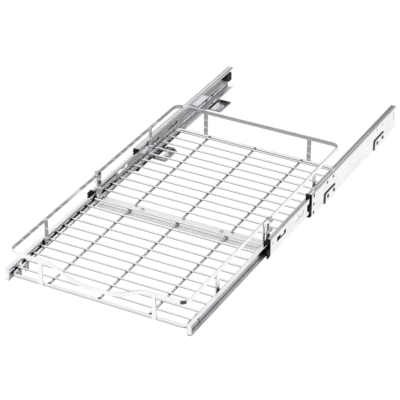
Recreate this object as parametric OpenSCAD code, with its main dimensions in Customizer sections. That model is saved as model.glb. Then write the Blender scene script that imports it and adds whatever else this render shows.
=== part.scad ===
// Pull-out cabinet basket: a chrome wire tray in two bolted halves, carried by a pair of
// three-member ball-bearing slides that stand on four small floor brackets.
// Shown pulled right out. The origin is the centre of the four floor screw holes, on the
// cabinet floor; +Y goes back into the cabinet and +Z is up.

/* [Basket] */
// Depth between the front and rear frame wires, centre to centre
basket_depth = 533; // [500:1:580]
// Width between the side frame wires, centre to centre
basket_width = 302.4; // [260:0.2:380]
// Height of the rail's top edge above the frame wire's centre
rail_height = 48.8; // [44:0.2:70]
// Diameter of the outer frame wire
frame_wire_d = 5.6; // [4.6:0.1:6]
// Diameter of the thin cross wires
cross_wire_d = 3; // [2:0.1:3.4]
// Diameter of the long wires that run front to back
long_wire_d = 3.8; // [3:0.1:4.2]
// Diameter of the stout wire that ends the front half
end_wire_d = 4; // [3:0.1:4.2]
// Spacing that the cross wires aim for
wire_pitch = 23.4; // [22:0.1:30]
// Distance from the front frame wire to the first cross wire
first_wire_front = 16.1; // [12:0.1:18]
// Distance from the rear frame wire to the last cross wire
first_wire_rear = 13.3; // [12.5:0.1:18]
// Sideways distance of the outer long wires from the middle
long_wire_x = 87.8; // [75:0.1:92]
// Bend radius of the frame wire at its corners, to its centre
frame_corner_r = 7; // [6:0.5:9]

/* [Rail and posts] */
// Height of the flat rail strip
rail_h = 7.2; // [6.8:0.1:9]
// Thickness of the rail strip and of the posts
rail_t = 1.8; // [1.2:0.1:2.2]
// Radius of the rail's corners, to the strip's middle
rail_corner_r = 14; // [10:1:20]
// How far the front rail stands ahead of the front frame wire
front_rail_lead = 6.5; // [5.6:0.1:9]
// How far the front half's side rails stand outside the side frame wires
front_rail_out = 1.7; // [1:0.1:2.4]
// How far the finger dip sinks in the middle of the front rail
dip_depth = 22.7; // [10:0.1:29]
// Half the width of the finger dip
dip_half_w = 91; // [80:1:94]
// How flat the bottom of the finger dip is
dip_power = 1.5; // [1:0.05:2]
// Width of a front or rear post
post_w = 7.2; // [6:0.1:8]
// Width of a side post
side_post_w = 10; // [7:0.5:11]
// Sideways distance of the front and rear posts from the middle
end_post_x = 98.3; // [96:0.1:105]

/* [Joint of the halves] */
// Distance from the front frame wire to the seam between the halves
seam_y = 258.5; // [256:0.5:262]
// Gap between the two halves at the seam
seam_gap = 1.6; // [1:0.1:2]
// Distance from the front frame wire to the stout end wire
end_wire_y = 249.4; // [248:0.1:251]
// Width of the narrow post that ends the front rail
seam_post_front_w = 5; // [4:0.5:5.5]
// Width of the broad post that starts the rear rail
seam_post_rear_w = 11; // [10:0.5:12]
// Thickness of the two lapped floor plates
plate_t = 1.5; // [1:0.1:2]
// Depth of the floor plate that shows, front to back
plate_depth = 26; // [24:0.5:28]
// Sideways distance of the floor plate's screws
plate_screw_x = 72; // [55:1:78]
// Thread diameter of the basket's screws
screw_d = 4; // [3:0.5:4]
// Clearance around a screw in its hole
screw_play = 0.25; // [0.1:0.05:0.4]

/* [Slides] */
// Length of the outer slide member
slide_len = 352; // [340:1:380]
// Height of the slide
slide_h = 42; // [41:0.5:46]
// Thickness of the closed slide
slide_t = 12.7; // [12.5:0.1:13.5]
// Sheet thickness of the slide members
slide_sheet = 1.2; // [1:0.05:1.3]
// Diameter of the balls
ball_d = 4; // [3.8:0.1:4.2]
// Running clearance of the balls in their races
ball_play = 0.05; // [0.02:0.01:0.1]
// Length of the middle member
middle_len = 320; // [300:1:324]
// Length of the inner member
inner_len = 328; // [310:1:330]
// How far the basket travels from fully out to fully in
travel = 400; // [390:1:403]
// How far the middle member stands out in front when the basket is out
middle_out = 148; // [140:1:150]
// How far the closed basket's front wire stands ahead of the outer member
front_overhang = 2; // [0:1:6]
// How far the inner member reaches ahead of the front frame wire
inner_lead = 6; // [4:1:8]
// Gap between the side frame wire and the inner member
frame_gap = 0.4; // [0.3:0.1:0.8]
// Height of the slide's centre line above the frame wire's centre
slide_rise = 1; // [0:0.1:2]
// Length of the outer ball cage
outer_cage_len = 150; // [120:1:160]
// Length of the inner ball cage
inner_cage_len = 72; // [60:1:78]

/* [Brackets] */
// Length of a bracket along the slide
bracket_len = 43; // [41:1:50]
// Sheet thickness of a bracket
bracket_t = 2; // [1.5:0.1:2.5]
// Height of a bracket's upright plate
bracket_h = 19.5; // [18.5:0.5:21]
// Distance from the outer member's front end to the front bracket's middle
bracket_setback = 72; // [68:1:90]
// Distance from the outer member's rear end to the rear bracket's middle
bracket_rear_setback = 73.5; // [70:0.5:90]
// How far a foot reaches inwards from the slide's basket side
foot_reach = 23; // [21:1:28]
// Distance of a floor hole from the foot's inner edge
floor_hole_edge = 8; // [7:0.5:10]
// Diameter of a floor screw hole
floor_hole_d = 5; // [4:0.5:6]
// Diameter of the spare screw holes in the outer member's web
side_hole_d = 4.6; // [4:0.2:5]
// Spacing of the holes and rivets at one bracket
hole_pitch = 23.4; // [20:0.1:26]

/* [Hidden] */
$fn = 48;

// Basket, across
half_w = basket_width / 2;
frame_r = frame_wire_d / 2;
cross_r = cross_wire_d / 2;
long_r = long_wire_d / 2;
weld = 0.05;
slide_in_x = half_w + frame_r + frame_gap;
slide_out_x = slide_in_x + slide_t;

// Heights
slide_z = bracket_t + slide_h / 2;
frame_z = slide_z - slide_rise;
cross_z = frame_z + frame_r + cross_r - weld;
long_z = cross_z - cross_r - long_r + weld;
end_wire_z = long_z + long_r + end_wire_d / 2 - weld;
rail_top = frame_z + rail_height;
rail_low = rail_top - rail_h;
post_top = rail_top - 2;
plate_top = long_z - long_r;

// Places along the slide
bracket_pitch = slide_len - bracket_setback - bracket_rear_setback;
slide_front = -bracket_setback - bracket_pitch / 2;
slide_rear = slide_front + slide_len;
frame_front = slide_front - travel - front_overhang;
frame_rear = frame_front + basket_depth;
inner_front = frame_front - inner_lead;
inner_rear = inner_front + inner_len;
middle_front = slide_front - middle_out;
middle_rear = middle_front + middle_len;
end_wire_at = frame_front + end_wire_y;
seam_at = frame_front + seam_y;
rear_half_front = seam_at + seam_gap;

// Rails, to the strip's middle. The rear half's side posts just clear the inner member, and
// its rear posts stand upright against the back of the frame wire.
post_play = 0.1;
front_rail_x = half_w + front_rail_out;
rear_rail_x = slide_in_x - post_play + rail_t / 2;
front_rail_y = frame_front - front_rail_lead;
rear_rail_y = frame_rear + frame_r - weld - rail_t / 2;

// Cross wires share the length of each half evenly
front_span = end_wire_y - first_wire_front;
front_wires = round(front_span / wire_pitch);
front_pitch = front_span / front_wires;
plate_rear = end_wire_at + plate_depth - 2;
rear_first_at = plate_rear + wire_pitch / 2 - 1;
rear_span = frame_rear - first_wire_rear - rear_first_at;
rear_gaps = round(rear_span / wire_pitch);
rear_pitch = rear_span / rear_gaps;

// Slide section: u runs from the outer face towards the basket, v up from the centre
bend_in = 1;
bend_out = bend_in + slide_sheet;
ball_r = ball_d / 2;
race_r = ball_r + ball_play;
run = 0.35;
lip_gap = 1.15;
outer_ball_u = slide_t - lip_gap - race_r - slide_sheet;
outer_ball_v = slide_h / 2 - slide_sheet - race_r;
cage_sheet = 0.5;
rivet_head = 0.5;
cage_u = slide_sheet + rivet_head + 0.3;
middle_u = cage_u + cage_sheet + 0.3;
middle_v = outer_ball_v - race_r;
inner_ball_u = slide_t - slide_sheet - run - slide_sheet - race_r;
inner_ball_v = middle_v - slide_sheet - race_r;
inner_v = inner_ball_v - race_r;
inner_cage_u = middle_u + slide_sheet + 0.4;
inner_tip_u = inner_cage_u + cage_sheet + 0.3;

// Windows pressed in the middle and inner members, from each member's front end
window_len = 32;
window_h = 8;
window_starts = [23, 89];
slot_y = 33;
slot_len = 6;
slot_h = 12;

// Ball cages, at rest
outer_cage_front = slide_front + 8;
inner_cage_front = middle_front + 8;
outer_ball_count = 9;
inner_ball_count = 5;
cage_strip = 0.8;
cage_end = 6;

// Lugs and their screws, from the front frame wire
lug_w = 11;
lug_first = frame_corner_r + lug_w / 2 + screw_play;
lug_pitch = 20.5;
lug_rear = 275;
lug_ys = [lug_first, lug_first + lug_pitch, lug_rear];
lug_t = 1.5;
lug_drop = 11;
lug_up = 1.5;
lug_screw_gap = 0.6;
lug_x = half_w - frame_r - lug_t;
lug_screw_z = frame_z - frame_r - screw_d / 2 - lug_screw_gap;

// Seam straps and screws
strap_t = 1.5;
strap_w = 26;
strap_leg_w = 10;
strap_leg_end = 4.5;
strap_top_gap = 0.6;
strap_step = 2.8;
strap_step_lead = 2.4;
strap_in = front_rail_x + rail_t / 2;
strap_x = rear_rail_x + rail_t / 2;
strap_screw_drop = 4.3;
strap_screw_rise = 5.8;
strap_screw_zs = [rail_top - strap_screw_drop, slide_z + slide_h / 2 + strap_screw_rise];
seam_post_y = rear_half_front + seam_post_rear_w / 2;
nut_h = 2.4;
nut_af = 7;
head_r = 3.6;
head_h = 1.8;

// Floor plates across the seam
plate_half = half_w - frame_r - lug_t - 2;
plate_front = end_wire_at;
plate_screw_setback = 15;
plate_screw_y = end_wire_at + plate_screw_setback;
plate_lip = 9;
plate_lap = plate_screw_y + nut_af;

// Bracket and hole places
foot_inner_x = slide_in_x - foot_reach;
floor_hole_x = foot_inner_x + floor_hole_edge;
bracket_ys = [-bracket_pitch / 2, bracket_pitch / 2];
rivet_z = slide_z - 11.3;
side_hole_z = slide_z + 14;
rivet_r = 2;
rib_h = 4;
foot_window_w = 6;
foot_window_len = 20;
foot_window_gap = 1.5;
foot_clip = 2;

// Black plastic, all lengths along the slide
guide_t = 2.5;
outer_guide_t = 1.6;
outer_guide_in = 1;
guide_toe = 6;
guide_toe_low = 8.5;
guide_toe_high = 3.5;
guide_tongue = 5;
guide_hook = 3;
guide_hook_h = 4;
hook_len = 9.5;
heel_len = 8;
wedge_len = 5.5;
wedge_gap = 3.2;
bumper_len = 22;
bumper_w = 8.5;

// --- helpers ---

// Draw for the right-hand side, or mirrored for the left
module on_side(side) {
    if (side < 0) mirror([1, 0, 0]) children();
    else children();
}

// Stand a slide section (u, v) on the right-hand slide and run it back from y
module slide_run(y, length) {
    translate([slide_out_x, y, slide_z])
        rotate([90, 0, 180])
            linear_extrude(height = length) children();
}

// A block in slide coordinates
module slide_block(y, length, u0, u1, v0, v1) {
    translate([slide_out_x - u1, y, slide_z + v0]) cube([u1 - u0, length, v1 - v0]);
}

// A hole through the slide's sheet, along X
module slide_hole(y, z, d) {
    translate([slide_out_x - slide_t - 1, y, z])
        rotate([0, 90, 0]) cylinder(d = d, h = slide_t + bracket_t + 4);
}

// Quarter of a flat ring, in the first quadrant
module quarter_ring(ri, ro) {
    intersection() {
        difference() {
            circle(r = ro);
            circle(r = ri);
        }
        square(ro + 1);
    }
}

// A bar of round wire from one point, along X or Y
module wire_x(x0, x1, y, z, r) {
    translate([x0, y, z]) rotate([0, 90, 0]) cylinder(r = r, h = x1 - x0);
}

module wire_y(x, y0, y1, z, r) {
    translate([x, y0, z]) rotate([-90, 0, 0]) cylinder(r = r, h = y1 - y0);
}

// Screw along -Z with a domed pan head on top; the origin is under the head
module pan_screw(length) {
    translate([0, 0, -length]) cylinder(d = screw_d, h = length);
    difference() {
        intersection() {
            cylinder(r = head_r, h = head_h);
            translate([0, 0, head_h - 2 * head_r]) sphere(r = 2 * head_r);
        }
        for (a = [0, 90]) rotate(a)
            translate([-head_r * 0.55, -0.4, head_h * 0.45]) cube([head_r * 1.1, 0.8, head_h]);
    }
}

module hex_nut() {
    difference() {
        cylinder(d = nut_af / cos(30), h = nut_h, $fn = 6);
        translate([0, 0, -1]) cylinder(d = screw_d + 0.02, h = nut_h + 2);
    }
}

// --- slide sections ---

module outer_section() {
    translate([0, bend_out - slide_h / 2]) square([slide_sheet, slide_h - 2 * bend_out]);
    for (m = [0, 1]) mirror([0, m]) {
        translate([bend_out, slide_h / 2 - bend_out]) rotate(90) quarter_ring(bend_in, bend_out);
        translate([bend_out, slide_h / 2 - slide_sheet])
            square([outer_ball_u - bend_out, slide_sheet]);
        translate([outer_ball_u, outer_ball_v]) quarter_ring(race_r, race_r + slide_sheet);
    }
}

module middle_section() {
    translate([middle_u, bend_out - middle_v]) square([slide_sheet, 2 * (middle_v - bend_out)]);
    for (m = [0, 1]) mirror([0, m]) {
        translate([middle_u + bend_out, middle_v - bend_out])
            rotate(90) quarter_ring(bend_in, bend_out);
        translate([middle_u + bend_out, middle_v - slide_sheet])
            square([inner_ball_u - middle_u - bend_out, slide_sheet]);
        translate([inner_ball_u, inner_ball_v]) quarter_ring(race_r, race_r + slide_sheet);
    }
}

module inner_section() {
    translate([slide_t - slide_sheet, bend_out - inner_v])
        square([slide_sheet, 2 * (inner_v - bend_out)]);
    for (m = [0, 1]) mirror([0, m]) {
        translate([slide_t - bend_out, inner_v - bend_out]) quarter_ring(bend_in, bend_out);
        translate([inner_tip_u, inner_v - slide_sheet])
            square([slide_t - bend_out - inner_tip_u, slide_sheet]);
    }
}

// --- cabinet side: outer members, brackets and stops ---

module outer_slide(side) {
    color([0.86, 0.87, 0.88]) on_side(side) difference() {
        slide_run(slide_front, slide_len) outer_section();
        for (y = bracket_ys) for (dy = [-hole_pitch / 2, hole_pitch / 2]) {
            slide_hole(y + dy, rivet_z, 2 * rivet_r + 0.1);
            slide_hole(y + dy, side_hole_z, side_hole_d);
        }
        // three small notches that hold the front guide, and the bumper's slot
        for (v = [-16, 0, 16])
            slide_block(slide_front + 6, 1.6, -1, slide_sheet + 1, v - 2, v + 2);
        slide_block(slide_rear - 11, 1.4, -1, slide_sheet + 1, -2, 13);
    }
}

module bracket(side, y, is_front) {
    foot_w = slide_out_x + bracket_t - foot_inner_x;
    color([0.8, 0.81, 0.83]) on_side(side) difference() {
        union() {
            // upright plate outside the slide and foot plate under it
            translate([slide_out_x, y - bracket_len / 2, 0])
                cube([bracket_t, bracket_len, bracket_h]);
            translate([foot_inner_x, y - bracket_len / 2, 0])
                cube([foot_w, bracket_len, bracket_t]);
            if (is_front) for (s = [0, 1])
                translate([foot_inner_x + 3, y + (s - 0.5) * bracket_len - s * bracket_t, 0])
                    cube([foot_reach - 4, bracket_t, bracket_t + rib_h]);
        }
        translate([floor_hole_x, y, -1]) cylinder(d = floor_hole_d, h = bracket_t + 2);
        for (dy = [-hole_pitch / 2, hole_pitch / 2])
            slide_hole(y + dy, rivet_z, 2 * rivet_r + 0.1);
        if (is_front)
            translate([slide_in_x - foot_window_w - foot_window_gap, y - foot_window_len / 2, -1])
                cube([foot_window_w, foot_window_len, bracket_t + 2]);
        // clipped corners of the foot
        for (s = [-1, 1]) translate([foot_inner_x, y + s * bracket_len / 2, -1])
            rotate([0, 0, 45]) translate([-foot_clip, -foot_clip, 0])
                cube([2 * foot_clip, 2 * foot_clip, bracket_t + rib_h + 2]);
    }
}

module bracket_rivets(side) {
    color([0.7, 0.71, 0.73]) on_side(side)
        for (y = bracket_ys) for (dy = [-hole_pitch / 2, hole_pitch / 2])
            translate([slide_out_x - slide_sheet, y + dy, rivet_z]) rotate([0, 90, 0])
                difference() {
                    union() {
                        translate([0, 0, -rivet_head]) cylinder(r = 3, h = rivet_head);
                        cylinder(r = rivet_r, h = slide_sheet + bracket_t);
                        translate([0, 0, slide_sheet + bracket_t]) cylinder(r1 = 3.6, r2 = 2.6, h = 1);
                    }
                    translate([0, 0, slide_sheet + bracket_t - 1]) cylinder(r = 1.1, h = 3);
                }
}

// Black frame clipped on the outer member's front end; the middle member runs through it
module outer_guide(side) {
    clear_u = middle_u - run;
    clear_v = middle_v + run;
    edge_u = slide_t - lip_gap;
    front = slide_front - outer_guide_t;
    color([0.06, 0.06, 0.06]) on_side(side) {
        difference() {
            slide_block(front, outer_guide_t, outer_guide_in, edge_u, -slide_h / 2, slide_h / 2);
            slide_block(front - 1, outer_guide_t + 2, clear_u, slide_t + 1, -clear_v, clear_v);
        }
        slide_block(front - guide_toe, guide_toe, 0.3, clear_u, -guide_toe_low, guide_toe_high);
        slide_block(front - guide_tongue, guide_tongue, 3, edge_u - 2.5, clear_v, slide_h / 2);
        slide_block(front - guide_hook, guide_hook, 2, edge_u - 1.5,
            -slide_h / 2, guide_hook_h - slide_h / 2);
    }
}

// Black stop in the rear end of the outer member
module rear_bumper(side) {
    nose = bumper_len / 2;
    color([0.05, 0.05, 0.05]) on_side(side)
        translate([slide_out_x - slide_sheet - bumper_w, slide_rear - 2, slide_z])
            rotate([90, 0, 90]) linear_extrude(height = bumper_w)
                polygon([[-bumper_len, 2], [-nose, 13], [-2, 13], [0, 10], [0, -4], [-nose, -4]]);
}

// --- middle members ---

module middle_slide(side) {
    color([0.84, 0.85, 0.87]) on_side(side) difference() {
        slide_run(middle_front, middle_len) middle_section();
        for (start = window_starts)
            slide_block(middle_front + start, window_len, middle_u - 1, middle_u + slide_sheet + 1,
                -1, window_h - 1);
        for (start = window_starts)
            slide_block(middle_rear - start - window_len, window_len,
                middle_u - 1, middle_u + slide_sheet + 1, -1, window_h - 1);
        slide_block(middle_front + 7, 1.6, middle_u - 1, middle_u + slide_sheet + 1, 2, 8);
    }
}

// Black guide in the middle member's front end: it carries a hook above the inner member
// and a wedge inside the inner member's channel
module middle_guide(side) {
    u0 = middle_u + slide_sheet;
    over = inner_v + run;
    color([0.06, 0.06, 0.06]) on_side(side) {
        difference() {
            slide_block(middle_front - guide_t, guide_t, middle_u, slide_t - slide_sheet - run,
                -middle_v, middle_v);
            slide_block(middle_front - guide_t - 1, guide_t + 2, inner_tip_u - run, slide_t,
                -over, over);
        }
        slide_block(middle_front - guide_t - hook_len, hook_len, u0, slide_t - slide_sheet - run - 1,
            over, middle_v);
        slide_block(middle_front - guide_t - heel_len, heel_len, middle_u, inner_tip_u - run, -middle_v, 0);
        slide_block(middle_front - guide_t - wedge_len, wedge_len + guide_t, inner_tip_u - run, slide_t - wedge_gap,
            -inner_v + slide_sheet + run, 1);
    }
}

// --- ball cages and balls ---

function ball_step(length, count) = (length - 2 * cage_end) / (count - 1);

module ball_cage(y, length, web_u, ball_u, ball_v, count) {
    step = ball_step(length, count);
    reach = ball_u + 1.6;
    difference() {
        union() {
            slide_block(y, length, web_u, web_u + cage_sheet, -ball_v - cage_strip / 2,
                ball_v + cage_strip / 2);
            for (s = [-1, 1])
                slide_block(y, length, web_u, reach, s * ball_v - cage_strip / 2,
                    s * ball_v + cage_strip / 2);
        }
        for (i = [0 : count - 1]) translate([slide_out_x - ball_u, y + cage_end + i * step,
            slide_z - slide_h / 2]) cylinder(r = ball_r + 0.1, h = slide_h);
    }
}

module ball_rows(y, length, ball_u, ball_v, count) {
    step = ball_step(length, count);
    for (i = [0 : count - 1]) for (s = [-1, 1])
        translate([slide_out_x - ball_u, y + cage_end + i * step, slide_z + s * ball_v])
            sphere(r = ball_r);
}

module outer_ball_cage(side) {
    color([0.72, 0.72, 0.7]) on_side(side)
        ball_cage(outer_cage_front, outer_cage_len, cage_u, outer_ball_u, outer_ball_v,
            outer_ball_count);
}

module outer_balls(side) {
    color([0.8, 0.8, 0.82]) on_side(side)
        ball_rows(outer_cage_front, outer_cage_len, outer_ball_u, outer_ball_v, outer_ball_count);
}

module inner_ball_cage(side) {
    color([0.1, 0.1, 0.1]) on_side(side)
        ball_cage(inner_cage_front, inner_cage_len, inner_cage_u, inner_ball_u, inner_ball_v,
            inner_ball_count);
}

module inner_balls(side) {
    color([0.8, 0.8, 0.82]) on_side(side)
        ball_rows(inner_cage_front, inner_cage_len, inner_ball_u, inner_ball_v, inner_ball_count);
}

// --- inner members and what screws the basket to them ---

module inner_slide(side) {
    color([0.85, 0.86, 0.88]) on_side(side) difference() {
        union() {
            slide_run(inner_front, inner_len) inner_section();
            // the web's front end is folded across the channel
            slide_block(inner_front, slide_sheet, inner_tip_u, slide_t - bend_out / 2,
                -inner_v + bend_in, inner_v - bend_in);
        }
        slide_block(inner_front + slot_y - slot_len / 2, slot_len, slide_t - slide_sheet - 1,
            slide_t + 1, -slot_h / 2, slot_h / 2);
        for (y = lug_ys) translate([slide_in_x - 1, frame_front + y, lug_screw_z])
            rotate([0, 90, 0]) cylinder(d = screw_d + 2 * screw_play, h = slide_sheet + 2);
    }
}

// Lugs hang from the inside of the side frame wires
module slide_lugs() {
    color([0.75, 0.76, 0.78]) for (side = [-1, 1]) on_side(side) for (y = lug_ys)
        difference() {
            translate([lug_x, frame_front + y, frame_z]) rotate([90, 0, 90])
                linear_extrude(height = lug_t) {
                    translate([-lug_w / 2, lug_w / 2 - lug_drop])
                        square([lug_w, lug_drop - lug_w / 2 + lug_up]);
                    translate([0, lug_w / 2 - lug_drop]) circle(d = lug_w);
                }
            translate([lug_x - 1, frame_front + y, lug_screw_z])
                rotate([0, 90, 0]) cylinder(d = screw_d + 2 * screw_play, h = lug_t + 2);
        }
}

module slide_screws() {
    length = slide_in_x + slide_sheet + 0.8 - lug_x;
    color([0.6, 0.6, 0.62]) for (side = [-1, 1]) on_side(side) for (y = lug_ys)
        translate([lug_x, frame_front + y, lug_screw_z]) rotate([0, -90, 0]) pan_screw(length);
}

// --- wire tray ---

// A frame half is a U: a bar across at y_bar with round corners, and two legs to y_end
module frame_half(y_bar, y_end) {
    way = y_end > y_bar ? 1 : -1;
    r = frame_corner_r;
    wire_x(r - half_w, half_w - r, y_bar, frame_z, frame_r);
    for (side = [-1, 1]) {
        wire_y(side * half_w, min(y_bar + way * r, y_end), max(y_bar + way * r, y_end),
            frame_z, frame_r);
        translate([side * (half_w - r), y_bar + way * r, frame_z])
            rotate([0, 0, way > 0 ? (side > 0 ? -90 : 180) : (side > 0 ? 0 : 90)])
                rotate_extrude(angle = 90) translate([r, 0]) circle(r = frame_r);
    }
}

module front_frame_wire() {
    color([0.88, 0.89, 0.9]) frame_half(frame_front, seam_at);
}

module rear_frame_wire() {
    color([0.88, 0.89, 0.9]) frame_half(frame_rear, rear_half_front);
}

module front_cross_wires() {
    color([0.88, 0.89, 0.9]) for (i = [0 : front_wires - 1])
        wire_x(-half_w - 1.5, half_w + 1.5, frame_front + first_wire_front + i * front_pitch,
            cross_z, cross_r);
}

module rear_cross_wires() {
    color([0.88, 0.89, 0.9]) for (i = [0 : rear_gaps])
        wire_x(-half_w - 1.5, half_w + 1.5, rear_first_at + i * rear_pitch, cross_z, cross_r);
}

module front_end_wire() {
    color([0.88, 0.89, 0.9])
        wire_x(-half_w - 1.5, half_w + 1.5, end_wire_at, end_wire_z, end_wire_d / 2);
}

module front_long_wires() {
    color([0.88, 0.89, 0.9]) for (x = [-long_wire_x, 0, long_wire_x])
        wire_y(x, frame_front + frame_r - 0.2, end_wire_at + end_wire_d / 2 + 4, long_z, long_r);
}

module rear_long_wires() {
    color([0.88, 0.89, 0.9]) for (x = [-long_wire_x, 0, long_wire_x])
        wire_y(x, plate_rear - 4, frame_rear - frame_r + 0.2, long_z, long_r);
}

// --- rail ---

// How far the top edge of the front rail sinks, x away from the middle
function dip(x) = abs(x) >= dip_half_w ? 0
    : dip_depth * (1 + cos(180 * pow(abs(x) / dip_half_w, dip_power))) / 2;

// Straight strip of rail along Y on both sides, at x from the middle, from y0 to y1
module side_strips(x, y0, y1) {
    for (side = [-1, 1]) on_side(side)
        translate([x - rail_t / 2, y0, rail_low]) cube([rail_t, y1 - y0, rail_h]);
}

// Rounded corner of the rail, centred at (x, y), turned to face its own corner
module rail_corner(x, y, turn) {
    translate([x, y, rail_low]) rotate([0, 0, turn]) linear_extrude(height = rail_h)
        quarter_ring(rail_corner_r - rail_t / 2, rail_corner_r + rail_t / 2);
}

module front_rail() {
    r = rail_corner_r;
    steps = 60;
    span = front_rail_x - r;
    xs = [for (i = [0 : steps]) span * (2 * i / steps - 1)];
    upper = [for (x = xs) [x, rail_top - dip(x)]];
    lower = [for (i = [steps : -1 : 0]) [xs[i], rail_low - dip(xs[i])]];
    color([0.9, 0.91, 0.92]) union() {
        translate([0, front_rail_y + rail_t / 2, 0]) rotate([90, 0, 0])
            linear_extrude(height = rail_t) polygon(concat(upper, lower));
        rail_corner(span, front_rail_y + r, -90);
        rail_corner(-span, front_rail_y + r, 180);
        side_strips(front_rail_x, front_rail_y + r, seam_at);
    }
}

module rear_rail() {
    r = rail_corner_r;
    span = rear_rail_x - r;
    color([0.9, 0.91, 0.92]) difference() {
        union() {
            translate([-span, rear_rail_y - rail_t / 2, rail_low])
                cube([2 * span, rail_t, rail_h]);
            rail_corner(span, rear_rail_y - r, 0);
            rail_corner(-span, rear_rail_y - r, 90);
            side_strips(rear_rail_x, rear_half_front, rear_rail_y - r);
        }
        for (side = [-1, 1]) strap_hole(side, strap_screw_zs[0]);
    }
}

// Side posts lap inside the rail and stand upright on the frame wire, from y0 to y0 + w
module side_posts(x, y0, w) {
    inner = x - 1.5 * rail_t;
    off = max(0, inner - half_w);
    foot = frame_z + sqrt(pow(frame_r, 2) - pow(off, 2)) - weld;
    for (side = [-1, 1]) on_side(side)
        translate([inner, y0, foot]) cube([rail_t, w, post_top - foot]);
}

// Posts on the front or rear rail stand against the outside of the frame wire. y_foot and
// y_top are the middles of the strip below and at the rail.
module end_posts(y_foot, y_top) {
    for (x = [-end_post_x, end_post_x])
        translate([x - post_w / 2, 0, 0]) rotate([90, 0, 90]) linear_extrude(height = post_w)
            polygon([[y_foot - rail_t / 2, frame_z], [y_foot + rail_t / 2, frame_z],
                [y_top + rail_t / 2, rail_low], [y_top + rail_t / 2, post_top],
                [y_top - rail_t / 2, post_top], [y_top - rail_t / 2, rail_low]]);
}

module front_posts() {
    gap = floor(front_wires / 3) + 0.5;
    color([0.85, 0.86, 0.87]) {
        end_posts(frame_front - frame_r + weld - rail_t / 2, front_rail_y + rail_t);
        side_posts(front_rail_x, frame_front + first_wire_front + gap * front_pitch
            - side_post_w / 2, side_post_w);
        side_posts(front_rail_x, seam_at - seam_post_front_w - 0.4, seam_post_front_w);
    }
}

module rear_posts() {
    gap = rear_gaps - floor(rear_gaps / 3) - 0.5;
    color([0.85, 0.86, 0.87]) difference() {
        union() {
            end_posts(rear_rail_y + rail_t, rear_rail_y + rail_t);
            side_posts(rear_rail_x, rear_first_at + gap * rear_pitch - side_post_w / 2,
                side_post_w);
            side_posts(rear_rail_x, rear_half_front, seam_post_rear_w);
        }
        for (side = [-1, 1]) for (z = strap_screw_zs) strap_hole(side, z);
    }
}

// --- joint of the two halves ---

module strap_hole(side, z) {
    on_side(side) translate([half_w - 6, seam_post_y, z])
        rotate([0, 90, 0]) cylinder(d = screw_d + 2 * screw_play, h = 16);
}

// Strap outside the rails at each seam, stepped out from the front rail to the rear one,
// with a leg down the rear post
module joint_straps() {
    front = seam_at + seam_gap / 2 - strap_w / 2;
    step_end = seam_at - strap_step_lead + strap_step - 0.05;
    step_start = step_end - strap_step;
    leg_low = strap_screw_zs[1] - strap_leg_end;
    color([0.7, 0.71, 0.73]) for (side = [-1, 1]) difference() {
        on_side(side) union() {
            translate([0, 0, rail_low]) linear_extrude(height = rail_h - strap_top_gap)
                polygon([[strap_in, front], [strap_in, step_start], [strap_x, step_end],
                    [strap_x, front + strap_w], [strap_x + strap_t, front + strap_w],
                    [strap_x + strap_t, step_end - strap_t / 2],
                    [strap_in + strap_t, step_start - strap_t / 2], [strap_in + strap_t, front]]);
            translate([strap_x, seam_post_y - strap_leg_w / 2, leg_low])
                cube([strap_t, strap_leg_w, rail_low + 1 - leg_low]);
        }
        for (z = strap_screw_zs) strap_hole(side, z);
    }
}

module strap_screws() {
    length = 2 * rail_t + strap_t + nut_h + 1;
    color([0.3, 0.3, 0.32]) for (side = [-1, 1]) on_side(side) for (z = strap_screw_zs)
        translate([rear_rail_x - 1.5 * rail_t, seam_post_y, z])
            rotate([0, -90, 0]) pan_screw(length);
}

module strap_nuts() {
    color([0.6, 0.6, 0.62]) for (side = [-1, 1]) on_side(side) for (z = strap_screw_zs)
        translate([strap_x + strap_t, seam_post_y, z])
            rotate([0, 90, 0]) hex_nut();
}

// The rear half's floor plate lies on top, the front half's is joggled under it
module plate_holes() {
    for (side = [-1, 1]) translate([side * plate_screw_x, plate_screw_y, plate_top - 3 * plate_t])
        cylinder(d = screw_d + 2 * screw_play, h = 4 * plate_t);
}

module rear_joint_plate() {
    color([0.93, 0.93, 0.94]) difference() {
        translate([-plate_half, plate_front, plate_top - plate_t])
            cube([2 * plate_half, plate_rear - plate_front, plate_t]);
        plate_holes();
    }
}

module front_joint_plate() {
    step = plate_front - 0.3;
    color([0.93, 0.93, 0.94]) difference() {
        union() {
            translate([-plate_half, step - plate_lip, plate_top - plate_t])
                cube([2 * plate_half, plate_lip, plate_t]);
            translate([-plate_half, step - plate_t, plate_top - 2 * plate_t])
                cube([2 * plate_half, plate_t, 2 * plate_t]);
            translate([-plate_half, step - plate_t, plate_top - 2 * plate_t])
                cube([2 * plate_half, plate_lap - step + plate_t, plate_t]);
        }
        plate_holes();
    }
}

module plate_screws() {
    length = 2 * plate_t + nut_h + 1;
    color([0.6, 0.6, 0.62]) for (side = [-1, 1])
        translate([side * plate_screw_x, plate_screw_y, plate_top]) pan_screw(length);
}

module plate_nuts() {
    color([0.6, 0.6, 0.62]) for (side = [-1, 1])
        translate([side * plate_screw_x, plate_screw_y, plate_top - 2 * plate_t - nut_h]) hex_nut();
}

// --- parts ---

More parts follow.
